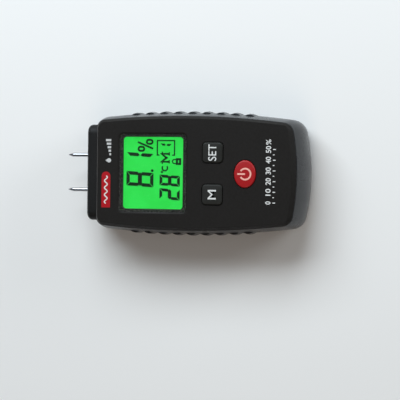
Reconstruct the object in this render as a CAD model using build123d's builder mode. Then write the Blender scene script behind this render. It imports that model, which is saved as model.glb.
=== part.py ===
"""Two-pin moisture meter: a hand-held case with a backlit display, three keys and two probe pins.

Frame: +Y runs along the case towards the probe pins, +Z out of the display face, +X to the right when
the display is read with the pins pointing away. The origin is the bottom centre of the whole meter,
which lies on its flat back. Units are millimetres.
"""

import os
from math import atan2, degrees, sqrt

from build123d import *

# ---------------------------------------------------------------- driving dimensions: case
case_length = 110.0
case_thickness = 28.0
case_side_room = 14.9  # from the battery room to the widest point of each side
tail_side_room = 10.1  # from the battery room to the same curve at the tail end
widest_from_nose = 45.9
wall = 2.0
face_wall = 2.4
back_wall = 2.6
bevel_depth = 2.4  # height of the bevelled rim round the face
widest_height = 13.0  # level at which the case is widest
belly_height = 3.5  # level at which the back edge starts to turn in
joint_groove = 0.35  # height of the shadow line between cover and housing
joint_groove_depth = 0.6
lip_height = 1.5
lip_wall = 1.0
slip = 0.1  # clearance between moulded pieces that slide together
contact_gap = 0.02  # clearance between pieces that only touch

# nose collar and probes
collar_length = 6.5
collar_half_width = 24.9
collar_thickness = 16.0
collar_corner = 4.5
collar_height = 14.0  # centre of the collar and of the pins above the back
collar_end_radius = 2.4
collar_end_wall = 2.4
flange_step = 0.85
flange_thickness = 2.0
nose_wall_lean = 0.4  # how far the nose wall leans in behind the flange
pin_spacing = 18.2
pin_reach = 12.5
pin_radius = 1.0
pin_point = 2.6
pin_tip_radius = 0.15
pin_thread_radius = 1.22
thread_depth = 7.0
socket_radius = 2.6
socket_front_wall = 1.2
socket_lug_radius = 1.2
socket_lug_length = 2.5
socket_head_radius = 3.4
socket_head = 1.5
wire_radius = 0.5
wire_bend = 2.0

# display
display_from_nose = 30.9
window_half_x = 20.0
window_half_y = 17.9
view_margin_x = 1.6  # dark border between the window's edge and the view opening
view_margin_y = 2.0
view_corner = 1.7
window_corner = 2.4
window_thickness = 1.1
window_bevel = 0.7  # width of the sloping rim round the window
window_sink = 0.3  # depth of that rim
glass_margin = 0.55
glass_thickness = 2.0
gasket_thickness = 0.4
gasket_inset = 1.2
frame_wall = 1.2
frame_corner = 2.5
frame_ledge = 0.8
strip_end_gap = 2.0
strip_width = 1.8

# keys
key_x = 10.6
keys_from_nose = 62.5
key_width = 10.4
key_length = 10.6
key_corner = 2.0
power_from_nose = 79.3
power_width = 14.0
power_length = 11.2
key_gap = 0.3
key_stand = 0.8  # key tops above the face
key_travel = 0.8
key_flange = 1.0
key_flange_thickness = 1.0
key_rest_gap = 0.2
key_edge_radius = 0.6
column_radius = 4.2
column_gap = 0.3
guide_wall = 0.8  # wall round each key inside the cover
mat_thickness = 1.0
mat_rim = 0.6
mat_rim_height = 1.5
mat_margin = 7.9  # how far the mat reaches past the middle of a key
pill_thickness = 0.6
pill_radius = 2.2
pad_radius = 2.6
pad_thickness = 0.1

# circuit board
board_drop = 5.0  # from the underside of the face to the top of the board
board_thickness = 1.6
board_half_width = 23.4
board_nose_gap = 1.4
board_tail_gap = 7.9
board_corner = 6.0

# batteries (AAA) and their compartment
cell_radius = 5.25
cell_length = 44.5
cell_nub_radius = 1.9
cell_nub = 0.8
cell_edge_radius = 0.6
cell_gap = 0.4  # between one cell and the next
cell_count = 3
plate_thickness = 0.4
plate_size = 8.0
spring_length = 5.7
spring_wire = 0.35
spring_wide_radius = 3.6
spring_narrow_radius = 2.3
spring_turns = 4
tab_width = 3.0
compartment_from_tail = 59.8  # its nose end
compartment_wall = 1.4
compartment_roof = 1.4
door_thickness = 1.8
door_tongue = 1.0  # how far each side tongue reaches into its groove
door_tongue_thickness = 0.85
rail_thickness = 1.3
door_grip_count = 5
door_grip_pitch = 1.8
door_grip_width = 14.0
door_grip_depth = 0.5
door_grip_inset = 9.0

# grip ribs
rib_count = 9
rib_pitch = 7.5
ribs_from_nose = 49.4  # middle rib
rib_width = 4.6
rib_height = 0.75
rib_top_drop = 9.9  # below the face
rib_bottom = 7.0

# fasteners
screw_radius = 1.2
screw_head_radius = 2.2
screw_head = 1.8
screw_sink = 1.2
post_radius = 3.0
post_split = 16.0
post_gap = 0.3
nose_post_x = 22.1
tail_post_from_tail = 17.1
screw_length = 20.0
board_screw_radius = 0.9
nose_screw_x, nose_screw_from_flange = 12.0, 3.8
middle_screw_x, middle_screw_from_nose = 20.0, 55.6
tail_screw_x, tail_screw_from_tail = 12.0, 15.6
board_head_radius = 1.9
board_head = 1.2
board_screw_depth = 3.6  # into the cover's standoffs
screw_slot = 0.6
standoff_radius = 2.2
thread_clearance = 0.05
hole_clearance = 0.2

# parts on the circuit board
controller_size = 10.0
controller_from_nose = 39.0
controller_pins = 11  # along each side
chip_width, chip_length = 3.9, 8.6
chip_from_nose = 20.0
chip_pins = 7
chip_height = 1.4
lead_width = 0.3
lead_reach = 0.9
passive_length, passive_width = 1.6, 0.8
capacitor_height = 0.8
resistor_height = 0.45
crystal_radius = 1.05
crystal_length = 6.0
thermistor_bead = 1.2
thermistor_leg = 0.25
thermistor_spacing = 1.4
thermistor_from_nose = 8.4
thermistor_drop = 3.2

# back label
label_half_x = 18.0
label_half_y = 12.0
label_from_nose = 29.0
label_thickness = 0.2
label_sink = 0.05

# ---------------------------------------------------------------- values worked out from them
total_length = case_length + collar_length + pin_reach
tail_y = -total_length / 2
nose_y = tail_y + case_length
collar_y = nose_y + collar_length
tip_y = collar_y + pin_reach
face_z = case_thickness
crease_z = case_thickness - bevel_depth
roof_z = case_thickness - face_wall
widest_y = nose_y - widest_from_nose
side_drop = case_side_room - tail_side_room
side_radius = ((widest_y - tail_y) ** 2 + side_drop**2) / (2 * side_drop)
display_y = nose_y - display_from_nose
key_y = nose_y - keys_from_nose
power_y = nose_y - power_from_nose
label_y = nose_y - label_from_nose
rib_middle_y = nose_y - ribs_from_nose
rib_top = face_z - rib_top_drop
controller_y = nose_y - controller_from_nose
chip_y = nose_y - chip_from_nose
thermistor_y = nose_y - thermistor_from_nose
board_top = roof_z - board_drop
board_bottom = board_top - board_thickness
view_half_x = window_half_x - view_margin_x
view_half_y = window_half_y - view_margin_y
glass_top = roof_z - gasket_thickness
glass_bottom = glass_top - glass_thickness
glass_half_x = window_half_x + glass_margin
glass_half_y = window_half_y + glass_margin - 0.2
strip_half_length = glass_half_x - strip_end_gap
window_top = face_z - window_sink
window_bottom = window_top - window_thickness
cell_pitch = 2 * cell_radius + cell_gap
compartment_nose_y = tail_y + compartment_from_tail
compartment_half_x = (cell_count - 1) / 2 * cell_pitch + cell_radius + 0.35
case_half_width = compartment_half_x + case_side_room
compartment_length = cell_length + spring_length + 2 * plate_thickness
compartment_tail_y = compartment_nose_y - compartment_length
cell_z = door_thickness + 0.65 + cell_radius
compartment_roof_z = cell_z + cell_radius + 0.65
door_half_x = compartment_half_x + 0.7
door_nose_y = compartment_nose_y + compartment_wall + 0.4
rib_radius = (rib_width**2 / 4 + rib_height**2) / (2 * rib_height)
slot_half = plate_thickness + slip
flange_back_y = nose_y - wall - nose_wall_lean - slip - flange_thickness
lug_front_y = flange_back_y - contact_gap - socket_head
board_nose_y = flange_back_y - board_nose_gap
board_tail_y = tail_y + board_tail_gap
nose_post_y = flange_back_y - post_radius - post_gap
tail_post_x = compartment_half_x + compartment_wall + post_radius + post_gap
tail_post_y = tail_y + tail_post_from_tail
post_corners = ((nose_post_x, nose_post_y), (tail_post_x, tail_post_y))
post_places = [(side * x, y) for x, y in post_corners for side in (1, -1)]
board_screw_rows = (
    (nose_screw_x, flange_back_y - nose_screw_from_flange),
    (middle_screw_x, nose_y - middle_screw_from_nose),
    (tail_screw_x, tail_y + tail_screw_from_tail),
)
board_screw_places = [(side * x, y) for x, y in board_screw_rows for side in (1, -1)]
key_places = {"set_key": (key_x, key_y), "mode_key": (-key_x, key_y), "power_key": (0.0, power_y)}
mat_half_x = key_x + key_width / 2 + 1.7
mat_nose_y = key_y + mat_margin
mat_tail_y = power_y - mat_margin
key_top = face_z + key_stand
key_flange_top = roof_z - key_rest_gap
pill_bottom = board_top + pad_thickness + key_travel + 0.05
column_bottom = pill_bottom + pill_thickness
far = 200.0  # larger than the meter, for cutting blocks

# levels of the case: height, how far the sides, the tail and the nose end are drawn in, and the
# tail's bulge and corner radii there
CASE_LEVELS = {
    "face": (face_z, 3.6, 7.3, 1.6, 2.0, 3.0, 3.4),
    "crease": (crease_z, 2.1, 4.5, 0.4, 2.8, 4.0, 6.0),
    "widest": (widest_height, 0.0, 0.0, 0.0, 3.6, 4.4, 8.0),
    "belly": (belly_height, 0.7, 1.3, 0.4, 3.4, 4.2, 7.0),
    "back": (0.0, 3.4, 4.6, 2.6, 3.0, 3.2, 5.0),
}

os.makedirs("parts", exist_ok=True)
exported = []


def save(part, name):
    """Labels a finished piece and writes it as its own STEP file."""
    part.label = name
    export_step(part, f"parts/{name}.step")
    exported.append(name)


def half_width(y):
    """Half the case's width at one place along its length, at the widest level: the sides are arcs."""
    return case_half_width - side_radius + sqrt(side_radius**2 - (y - widest_y) ** 2)


def side_inset(height):
    """How far the side wall is drawn in at one height: a parabola through three levels."""
    levels = [CASE_LEVELS[name][:2] for name in ("belly", "widest", "crease")]
    inset = 0.0
    for level_height, level_inset in levels:
        share = level_inset
        for other_height, _ in levels:
            if other_height != level_height:
                share *= (height - other_height) / (level_height - other_height)
        inset += share
    return inset


def case_outline(level, inset=0.0):
    """Plan outline of the case at one level, drawn in all round by inset."""
    height, side, tail, nose, bulge, nose_radius, tail_radius = CASE_LEVELS[level]
    y_front = nose_y - nose - inset
    y_rear = tail_y + tail + inset
    x_front = half_width(y_front) - side - inset
    x_middle = case_half_width - side - inset
    x_rear = half_width(y_rear + bulge) - side - inset
    with BuildSketch(Plane.XY.offset(height)) as outline:
        with BuildLine():
            Line((-x_front, y_front), (x_front, y_front))
            ThreePointArc((x_front, y_front), (x_middle, widest_y), (x_rear, y_rear + bulge))
            ThreePointArc((x_rear, y_rear + bulge), (0, y_rear), (-x_rear, y_rear + bulge))
            ThreePointArc((-x_rear, y_rear + bulge), (-x_middle, widest_y), (-x_front, y_front))
        make_face()
        fillet(outline.vertices().group_by(Axis.Y)[0], max(tail_radius - inset, 0.8))
        fillet(outline.vertices().group_by(Axis.Y)[-1], max(nose_radius - inset, 0.6))
    return outline.sketch


def case_block(inset=0.0):
    """Solid bounded by the case's outer surface drawn in by inset."""
    with BuildPart() as block:
        loft([case_outline("crease", inset), case_outline("face", inset)], ruled=True)
        loft([case_outline(level, inset) for level in ("belly", "widest", "crease")])
        loft([case_outline("back", inset), case_outline("belly", inset)], ruled=True)
    return block.part


def block_between(x_low, x_high, y_low, y_high, bottom, top):
    """A plain block between six planes."""
    with BuildPart() as block:
        with BuildSketch(Plane.XY.offset(bottom)):
            with Locations(((x_low + x_high) / 2, (y_low + y_high) / 2)):
                Rectangle(x_high - x_low, y_high - y_low)
        extrude(amount=top - bottom)
    return block.part


def slab(bottom, top):
    """A block wider than the case between two heights."""
    return block_between(-far, far, -far, far, bottom, top)


def key_shape(name, growth=0.0):
    """Draws one key's outline, grown all round, into the sketch that is open."""
    if name == "power_key":
        Ellipse(power_width / 2 + growth, power_length / 2 + growth)
    else:
        RectangleRounded(key_width + 2 * growth, key_length + 2 * growth, key_corner + growth)


outer_block = case_block()
inner_block = case_block(wall)

# ---------------------------------------------------------------- front cover
cover_skin = outer_block & slab(crease_z, far)
cover_rim = case_outline("crease")
cover_rim_core = case_outline("crease", joint_groove_depth)
lip_outer = case_outline("crease", wall + slip)
lip_inner = case_outline("crease", wall + slip + lip_wall)
guide_bottom = board_top + mat_thickness + contact_gap
guide_inner = key_flange + 0.3

with BuildPart() as front_cover:
    add(cover_skin)
    # shadow line along the joint
    extrude(cover_rim, amount=joint_groove, mode=Mode.SUBTRACT)
    extrude(cover_rim_core, amount=joint_groove)
    # lip that drops inside the housing's rim
    extrude(lip_outer, amount=-lip_height)
    extrude(lip_inner, amount=-lip_height, mode=Mode.SUBTRACT)
    # screw posts and the standoffs that the board is screwed to
    with BuildSketch(Plane.XY.offset(post_split)):
        with Locations(*post_places):
            Circle(post_radius)
    extrude(amount=roof_z - post_split)
    with BuildSketch(Plane.XY.offset(board_top + contact_gap)):
        with Locations(*board_screw_places):
            Circle(standoff_radius)
    extrude(amount=roof_z - board_top - contact_gap)
    # guide walls round the keys press the mat down on the board
    for key_name, key_place in key_places.items():
        with BuildSketch(Plane.XY.offset(guide_bottom)):
            with Locations(key_place):
                key_shape(key_name, guide_inner + guide_wall)
        extrude(amount=roof_z - guide_bottom)
    for key_name, key_place in key_places.items():
        with BuildSketch(Plane.XY.offset(guide_bottom)):
            with Locations(key_place):
                key_shape(key_name, guide_inner)
        extrude(amount=roof_z - guide_bottom, mode=Mode.SUBTRACT)
        with BuildSketch(Plane.XY.offset(roof_z)):
            with Locations(key_place):
                key_shape(key_name, key_gap)
        extrude(amount=far, mode=Mode.SUBTRACT)
    # sloping rim, seat and view opening of the display window
    with BuildSketch(Plane.XY.offset(window_top)):
        with Locations((0, display_y)):
            RectangleRounded(2 * window_half_x, 2 * window_half_y, window_corner)
    with BuildSketch(Plane.XY.offset(face_z)):
        with Locations((0, display_y)):
            RectangleRounded(
                2 * (window_half_x + window_bevel), 2 * (window_half_y + window_bevel), window_corner + window_bevel
            )
    loft(mode=Mode.SUBTRACT)
    with BuildSketch(Plane.XY.offset(window_bottom)):
        with Locations((0, display_y)):
            RectangleRounded(2 * window_half_x, 2 * window_half_y, window_corner)
    extrude(amount=window_thickness, mode=Mode.SUBTRACT)
    with BuildSketch(Plane.XY.offset(roof_z)):
        with Locations((0, display_y)):
            RectangleRounded(2 * view_half_x, 2 * view_half_y, view_corner)
    extrude(amount=face_wall, mode=Mode.SUBTRACT)
    # holes that the screws cut their threads in
    with BuildSketch(Plane.XY.offset(post_split)):
        with Locations(*post_places):
            Circle(screw_radius + thread_clearance)
    extrude(amount=screw_sink + screw_head + screw_length + 1.0 - post_split, mode=Mode.SUBTRACT)
    with BuildSketch(Plane.XY.offset(board_top)):
        with Locations(*board_screw_places):
            Circle(board_screw_radius + thread_clearance)
    extrude(amount=board_screw_depth + 0.4, mode=Mode.SUBTRACT)
save(front_cover.part, "front_cover")

# ---------------------------------------------------------------- rear housing
housing_skin = outer_block & slab(0, crease_z)
housing_room = inner_block & slab(back_wall, far)
collar_middle = (0, collar_height)
rib_ys = [rib_middle_y + (i - (rib_count - 1) / 2) * rib_pitch for i in range(rib_count)]
rib_heights = (rib_bottom, (rib_bottom + rib_top) / 2, rib_top)
cell_xs = [(i - (cell_count - 1) / 2) * cell_pitch for i in range(cell_count)]
tab_slots = [(cell_xs[0], compartment_nose_y - slot_half), (cell_xs[-1], compartment_tail_y + slot_half)]
compartment_shell = block_between(
    -compartment_half_x - compartment_wall,
    compartment_half_x + compartment_wall,
    compartment_tail_y - compartment_wall,
    compartment_nose_y + compartment_wall,
    door_thickness + slip,
    compartment_roof_z + compartment_roof,
)
rail_band = block_between(
    -door_half_x - door_tongue - compartment_wall,
    door_half_x + door_tongue + compartment_wall,
    compartment_tail_y - compartment_wall,
    compartment_nose_y + compartment_wall,
    door_thickness + slip,
    door_thickness + slip + rail_thickness,
)
compartment_room = block_between(
    -compartment_half_x, compartment_half_x, compartment_tail_y, compartment_nose_y, -1.0, compartment_roof_z
)
door_bay = block_between(
    -door_half_x - slip, door_half_x + slip, -far, door_nose_y + slip, -1.0, door_thickness + slip
)
door_grooves = block_between(
    -door_half_x - door_tongue - slip,
    door_half_x + door_tongue + slip,
    -far,
    door_nose_y + slip,
    door_thickness - door_tongue_thickness - slip,
    door_thickness + slip,
)
label_recess = block_between(
    -label_half_x - slip,
    label_half_x + slip,
    label_y - label_half_y - slip,
    label_y + label_half_y + slip,
    -1.0,
    label_sink + label_thickness + contact_gap,
)



def grip_rib(side, y):
    """A round bar that follows the side wall at one place along it, standing a rib's height proud."""
    axis_x = half_width(y) + rib_height - rib_radius
    with BuildPart() as rib:
        with BuildLine() as axis:
            ThreePointArc(*[(side * (axis_x - side_inset(height)), y, height) for height in rib_heights])
        with BuildSketch(Plane(origin=axis.line @ 0, z_dir=axis.line % 0)):
            Circle(rib_radius)
        sweep()
    return rib.part


ribs = [grip_rib(side, y) for y in rib_ys for side in (1, -1)]

with BuildPart() as rear_housing:
    add(housing_skin)
    add(ribs)
    add(housing_room, mode=Mode.SUBTRACT)
    add(compartment_shell)
    add(rail_band)
    add(compartment_room, mode=Mode.SUBTRACT)
    add(door_bay, mode=Mode.SUBTRACT)
    add(door_grooves, mode=Mode.SUBTRACT)
    add(label_recess, mode=Mode.SUBTRACT)
    # slots that pass the two terminal tabs up to the board
    with BuildSketch(Plane.XY.offset(compartment_roof_z - 0.5)):
        with Locations(*tab_slots):
            Rectangle(tab_width + 2 * hole_clearance, 2 * slot_half)
    extrude(amount=compartment_roof + 1.0, mode=Mode.SUBTRACT)
    # screw posts with sunk heads
    with BuildSketch(Plane.XY.offset(1.0)):
        with Locations(*post_places):
            Circle(post_radius)
    extrude(amount=post_split - contact_gap - 1.0)
    with BuildSketch(Plane.XY.offset(-1.0)):
        with Locations(*post_places):
            Circle(screw_head_radius + hole_clearance)
    extrude(amount=1.0 + screw_sink + screw_head, mode=Mode.SUBTRACT)
    with BuildSketch(Plane.XY):
        with Locations(*post_places):
            Circle(screw_radius + hole_clearance)
    extrude(amount=post_split, mode=Mode.SUBTRACT)
    # opening for the nose collar
    with BuildSketch(Plane.XZ.offset(-nose_y - 1.0)):
        with Locations(collar_middle):
            RectangleRounded(2 * (collar_half_width + slip), collar_thickness + 2 * slip, collar_corner + slip)
    extrude(amount=wall + 4.0, mode=Mode.SUBTRACT)
save(rear_housing.part, "rear_housing")

# ---------------------------------------------------------------- nose collar with the probes
probe_sides = {"left": -pin_spacing / 2, "right": pin_spacing / 2}
probe_points = [(x, collar_height) for x in probe_sides.values()]
collar_back = Plane.XZ.offset(-flange_back_y)  # its normal points to the tail

with BuildPart() as nose_collar:
    with BuildSketch(collar_back):
        with Locations(collar_middle):
            RectangleRounded(2 * collar_half_width, collar_thickness, collar_corner)
    extrude(amount=-(collar_y - flange_back_y))
    end_edges = nose_collar.faces().sort_by(Axis.Y)[-1].edges()
    fillet(end_edges, collar_end_radius)
    with BuildSketch(collar_back):
        with Locations(collar_middle):
            RectangleRounded(
                2 * (collar_half_width + flange_step), collar_thickness + 2 * flange_step, collar_corner + flange_step
            )
    extrude(amount=-flange_thickness)
    # hollow behind the end wall, with a boss round each socket
    with BuildSketch(collar_back):
        with Locations(collar_middle):
            RectangleRounded(2 * (collar_half_width - wall), collar_thickness - 2 * wall, collar_corner - wall)
        with Locations(*probe_points):
            Circle(socket_radius + compartment_wall, mode=Mode.SUBTRACT)
    extrude(amount=-(collar_y - flange_back_y - collar_end_wall), mode=Mode.SUBTRACT)
    with BuildSketch(collar_back):
        with Locations(*probe_points):
            Circle(socket_radius + slip / 2)
    extrude(amount=-(collar_y - flange_back_y - socket_front_wall), mode=Mode.SUBTRACT)
    with BuildSketch(collar_back):
        with Locations(*probe_points):
            Circle(pin_thread_radius + slip)
    extrude(amount=-far, mode=Mode.SUBTRACT)
save(nose_collar.part, "nose_collar")

for side_name, pin_x in probe_sides.items():
    pin_place = (pin_x, collar_height)
    with BuildPart() as socket:
        with BuildSketch(Plane.XZ.offset(-flange_back_y + contact_gap)):
            with Locations(pin_place):
                Circle(socket_head_radius)
        extrude(amount=socket_head)
        with BuildSketch(Plane.XZ.offset(-flange_back_y + contact_gap)):
            with Locations(pin_place):
                Circle(socket_radius)
        extrude(amount=-(collar_y - flange_back_y - socket_front_wall))
        with BuildSketch(Plane.XZ.offset(-lug_front_y)):
            with Locations(pin_place):
                Circle(socket_lug_radius)
        extrude(amount=socket_lug_length)
        with BuildSketch(Plane.XZ.offset(-collar_y)):
            with Locations(pin_place):
                Circle(pin_thread_radius + thread_clearance)
        extrude(amount=socket_front_wall + thread_depth + 1.0, mode=Mode.SUBTRACT)
    save(socket.part, f"probe_socket_{side_name}")

    with BuildPart() as pin:
        with BuildSketch(Plane.XZ.offset(-tip_y)):
            with Locations(pin_place):
                Circle(pin_radius)
        extrude(amount=pin_reach)
        tip_edge = pin.faces().sort_by(Axis.Y)[-1].edges()
        chamfer(tip_edge, pin_point, pin_radius - pin_tip_radius, reference=pin.faces().filter_by(GeomType.CYLINDER)[0])
        with BuildSketch(Plane.XZ.offset(-collar_y)):
            with Locations(pin_place):
                Circle(pin_thread_radius)
        extrude(amount=socket_front_wall + thread_depth)
    save(pin.part, f"probe_pin_{side_name}")

    wire_start = lug_front_y - socket_lug_length - contact_gap
    with BuildPart() as wire:
        with BuildLine():
            FilletPolyline(
                (pin_x, wire_start, collar_height),
                (pin_x, wire_start - 2 * wire_bend, collar_height),
                (pin_x, wire_start - 2 * wire_bend, board_bottom - contact_gap),
                radius=wire_bend,
            )
        with BuildSketch(Plane.XZ.offset(-wire_start)):
            with Locations(pin_place):
                Circle(wire_radius)
        sweep()
    save(wire.part, f"probe_wire_{side_name}")

# ---------------------------------------------------------------- display
with BuildPart() as display_window:
    with BuildSketch(Plane.XY.offset(window_bottom + contact_gap)):
        with Locations((0, display_y)):
            RectangleRounded(2 * (window_half_x - slip / 2), 2 * (window_half_y - slip / 2), window_corner)
    extrude(amount=window_thickness - contact_gap)
save(display_window.part, "display_window")

with BuildPart() as window_gasket:
    with BuildSketch(Plane.XY.offset(glass_top + contact_gap)):
        with Locations((0, display_y)):
            Rectangle(2 * glass_half_x, 2 * glass_half_y)
            RectangleRounded(
                2 * (view_half_x + slip), 2 * (view_half_y + slip), view_corner, mode=Mode.SUBTRACT
            )
    extrude(amount=gasket_thickness - 2 * contact_gap)
save(window_gasket.part, "window_gasket")

with BuildPart() as display_glass:
    with BuildSketch(Plane.XY.offset(glass_bottom)):
        with Locations((0, display_y)):
            Rectangle(2 * glass_half_x, 2 * glass_half_y)
    extrude(amount=glass_thickness)
save(display_glass.part, "display_glass")

with BuildPart() as display_frame:
    with BuildSketch(Plane.XY.offset(board_top + contact_gap)):
        with Locations((0, display_y)):
            RectangleRounded(
                2 * (glass_half_x + slip + frame_wall), 2 * (glass_half_y + slip + frame_wall), frame_corner
            )
            Rectangle(2 * (glass_half_x - frame_ledge), 2 * (glass_half_y + slip), mode=Mode.SUBTRACT)
    extrude(amount=roof_z - board_top - 2 * contact_gap)
    with BuildSketch(Plane.XY.offset(glass_bottom - contact_gap)):
        with Locations((0, display_y)):
            Rectangle(2 * (glass_half_x + slip), 2 * (glass_half_y + slip))
    extrude(amount=far, mode=Mode.SUBTRACT)
save(display_frame.part, "display_frame")

with BuildPart() as light_guide:
    with BuildSketch(Plane.XY.offset(board_top + contact_gap)):
        with Locations((0, display_y)):
            Rectangle(2 * (glass_half_x - frame_ledge - slip), 2 * (glass_half_y - strip_width - 2 * slip))
    extrude(amount=glass_bottom - board_top - 2 * contact_gap)
save(light_guide.part, "light_guide")

for strip_name, strip_side in {"contact_strip_nose": 1, "contact_strip_tail": -1}.items():
    with BuildPart() as strip:
        with BuildSketch(Plane.XY.offset(board_top + contact_gap)):
            with Locations((0, display_y + strip_side * (glass_half_y - strip_width / 2))):
                Rectangle(2 * strip_half_length, strip_width)
        extrude(amount=glass_bottom - board_top - 2 * contact_gap)
    save(strip.part, strip_name)

# ---------------------------------------------------------------- circuit board and what is on it
with BuildPart() as circuit_board:
    with BuildSketch(Plane.XY.offset(board_bottom)) as board_outline:
        with Locations((0, (board_nose_y + board_tail_y) / 2)):
            RectangleRounded(2 * board_half_width, board_nose_y - board_tail_y, board_corner)
        with Locations(*post_places):
            Circle(post_radius + 2 * hole_clearance, mode=Mode.SUBTRACT)
        with Locations(*board_screw_places):
            Circle(board_screw_radius + hole_clearance, mode=Mode.SUBTRACT)
    extrude(amount=board_thickness)
save(circuit_board.part, "circuit_board")

parts_top = board_bottom - contact_gap  # parts hang under the board


def square_chip(width, length, y, pins_x, pins_y):
    """A chip body with its rows of leads, hanging under the board."""
    with BuildPart() as chip:
        with BuildSketch(Plane.XY.offset(parts_top - chip_height)):
            with Locations((0, y)):
                Rectangle(width, length)
        extrude(amount=chip_height - 0.1)
        with BuildSketch(Plane.XY.offset(parts_top - chip_height / 2)):
            with Locations((0, y)):
                if pins_y:
                    pitch = (length - 1.2) / (pins_y - 1)
                    with GridLocations(width + lead_reach, pitch, 2, pins_y):
                        Rectangle(lead_reach + 0.2, lead_width)
                if pins_x:
                    pitch = (width - 1.2) / (pins_x - 1)
                    with GridLocations(pitch, length + lead_reach, pins_x, 2):
                        Rectangle(lead_width, lead_reach + 0.2)
        extrude(amount=chip_height / 2)
    return chip.part


save(square_chip(controller_size, controller_size, controller_y, controller_pins, controller_pins), "controller_chip")
save(square_chip(chip_width, chip_length, chip_y, 0, chip_pins), "measuring_chip")

with BuildPart() as capacitors:
    with BuildSketch(Plane.XY.offset(parts_top)):
        with Locations((0, controller_y)):
            with GridLocations(4 * passive_length, 2 * controller_size, 4, 2):
                Rectangle(passive_length, passive_width)
    extrude(amount=-capacitor_height)
save(capacitors.part, "capacitors")

with BuildPart() as resistors:
    with BuildSketch(Plane.XY.offset(parts_top)):
        with Locations((0, chip_y)):
            with GridLocations(1.5 * chip_length, 2 * passive_length, 2, 5):
                Rectangle(passive_length, passive_width)
    extrude(amount=-resistor_height)
save(resistors.part, "resistors")

with BuildPart() as crystal:
    with BuildSketch(Plane.YZ.offset(controller_size)):
        with Locations((controller_y, parts_top - crystal_radius)):
            Circle(crystal_radius)
    extrude(amount=crystal_length)
save(crystal.part, "crystal")

with BuildPart() as thermistor:
    with BuildSketch(Plane.XY.offset(parts_top)):
        with Locations((-thermistor_spacing / 2, thermistor_y), (thermistor_spacing / 2, thermistor_y)):
            Circle(thermistor_leg)
    extrude(amount=-thermistor_drop)
    with Locations((0, thermistor_y, parts_top - thermistor_drop)):
        Sphere(thermistor_bead)
save(thermistor.part, "thermistor")

with BuildPart() as board_screws:
    with BuildSketch(Plane.XY.offset(board_bottom - contact_gap)):
        with Locations(*board_screw_places):
            Circle(board_head_radius)
    extrude(amount=-board_head)
    with BuildSketch(Plane.XY.offset(board_bottom - contact_gap)):
        with Locations(*board_screw_places):
            Circle(board_screw_radius)
    extrude(amount=board_thickness + board_screw_depth)
save(board_screws.part, "board_screws")

# ---------------------------------------------------------------- keys
with BuildPart() as key_contacts:
    with BuildSketch(Plane.XY.offset(board_top + contact_gap / 2)):
        with Locations(*key_places.values()):
            Circle(pad_radius)
    extrude(amount=pad_thickness - contact_gap / 2)
save(key_contacts.part, "key_contacts")

with BuildPart() as key_mat:
    with BuildSketch(Plane.XY.offset(board_top)):
        with Locations((0, (mat_nose_y + mat_tail_y) / 2)):
            Rectangle(2 * mat_half_x, mat_nose_y - mat_tail_y)
    extrude(amount=mat_thickness)
    with BuildSketch(Plane.XY.offset(board_top + mat_thickness)):
        with Locations(*key_places.values()):
            Circle(column_radius + column_gap + mat_rim)
    extrude(amount=mat_rim_height)
    with BuildSketch(Plane.XY.offset(board_top)):
        with Locations(*key_places.values()):
            Circle(column_radius + column_gap)
    extrude(amount=far, mode=Mode.SUBTRACT)
save(key_mat.part, "key_mat")

for key_name, key_place in key_places.items():
    with BuildPart() as key:
        with BuildSketch(Plane.XY.offset(key_flange_top - key_flange_thickness)):
            with Locations(key_place):
                key_shape(key_name, key_flange)
        extrude(amount=key_flange_thickness)
        with BuildSketch(Plane.XY.offset(key_flange_top)):
            with Locations(key_place):
                key_shape(key_name)
        extrude(amount=key_top - key_flange_top)
        fillet(key.faces().sort_by(Axis.Z)[-1].edges(), key_edge_radius)
        with BuildSketch(Plane.XY.offset(column_bottom)):
            with Locations(key_place):
                Circle(column_radius)
        extrude(amount=key_flange_top - key_flange_thickness - column_bottom)
    save(key.part, key_name)

    with BuildPart() as pill:
        with BuildSketch(Plane.XY.offset(pill_bottom)):
            with Locations(key_place):
                Circle(pill_radius)
        extrude(amount=pill_thickness - contact_gap)
    save(pill.part, key_name.replace("key", "pill"))

# ---------------------------------------------------------------- batteries and their contacts
plate_bottom = cell_z - plate_size / 2
nose_plate_y = compartment_nose_y - contact_gap
tail_plate_y = compartment_tail_y + contact_gap + plate_thickness

for i, cell_x in enumerate(cell_xs):
    towards_nose = i % 2 == 0
    reach = cell_length - cell_nub
    if towards_nose:
        nub_y = nose_plate_y - plate_thickness - contact_gap
        flat_y, step = nub_y - cell_length, 1
    else:
        nub_y = tail_plate_y + contact_gap
        flat_y, step = nub_y + cell_length, -1
    with BuildPart() as cell:
        with BuildSketch(Plane.XZ.offset(-flat_y)):
            with Locations((cell_x, cell_z)):
                Circle(cell_radius)
        extrude(amount=-step * reach)
        fillet(cell.edges().filter_by(GeomType.CIRCLE), cell_edge_radius)
        with BuildSketch(Plane.XZ.offset(-(flat_y + step * reach))):
            with Locations((cell_x, cell_z)):
                Circle(cell_nub_radius)
        extrude(amount=-step * cell_nub)
    save(cell.part, f"battery_{i + 1}")

    # cone spring between the flat end and its plate
    plate_face = tail_plate_y if towards_nose else nose_plate_y - plate_thickness
    spring_room = abs(flat_y - plate_face) - 2 * (spring_wire + contact_gap)
    start_y = plate_face + step * (spring_wire + contact_gap)
    with BuildPart() as spring:
        with BuildLine():
            coil = Helix(
                pitch=spring_room / spring_turns,
                height=spring_room,
                radius=spring_wide_radius,
                center=(cell_x, start_y, cell_z),
                direction=(0, step, 0),
                cone_angle=-degrees(atan2(spring_wide_radius - spring_narrow_radius, spring_room)),
            )
        with BuildSketch(Plane(origin=coil @ 0, z_dir=coil % 0)):
            Circle(spring_wire)
        sweep(is_frenet=True)
    save(spring.part, f"battery_spring_{i + 1}")

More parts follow.
